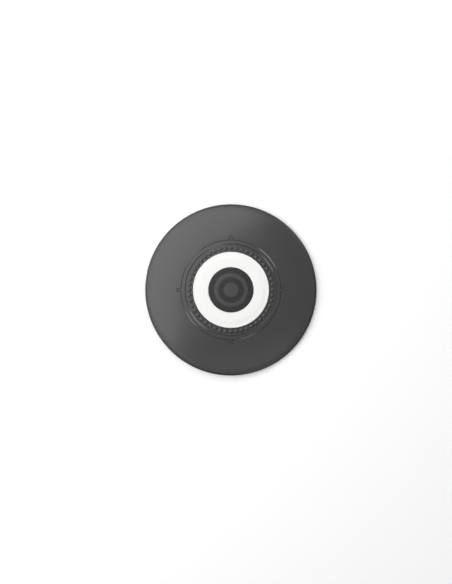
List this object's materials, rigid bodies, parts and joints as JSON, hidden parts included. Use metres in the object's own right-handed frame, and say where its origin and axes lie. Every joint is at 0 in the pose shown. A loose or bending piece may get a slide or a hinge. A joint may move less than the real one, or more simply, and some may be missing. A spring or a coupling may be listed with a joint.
{
  "type": "adhesive phone mount plate",
  "caption": "Round adhesive mount plate: a domed grey disc with a raised white seat ring, a printed centre cap and a ring of diamond studs, for a magnetic phone accessory.",
  "frame": {"origin": "centre of the adhesive face", "axes": "+Z out of the plate's front face, +X and +Y through two of the raised ring's tabs"},
  "size_m": [0.067, 0.067, 0.0041],
  "materials": {
    "plate": "fine moulded texture, satin",
    "seat": "smooth moulded, satin",
    "cap": "smooth moulded with a printed dot and ring",
    "magnet": "nickel plated",
    "pad": "foam adhesive"
  },
  "bodies": {
    "root": {"base_plate": "plate", "seat_ring": "seat", "centre_cap": "cap", "magnet": "magnet", "adhesive_pad": "pad"}
  },
  "joints": []
}
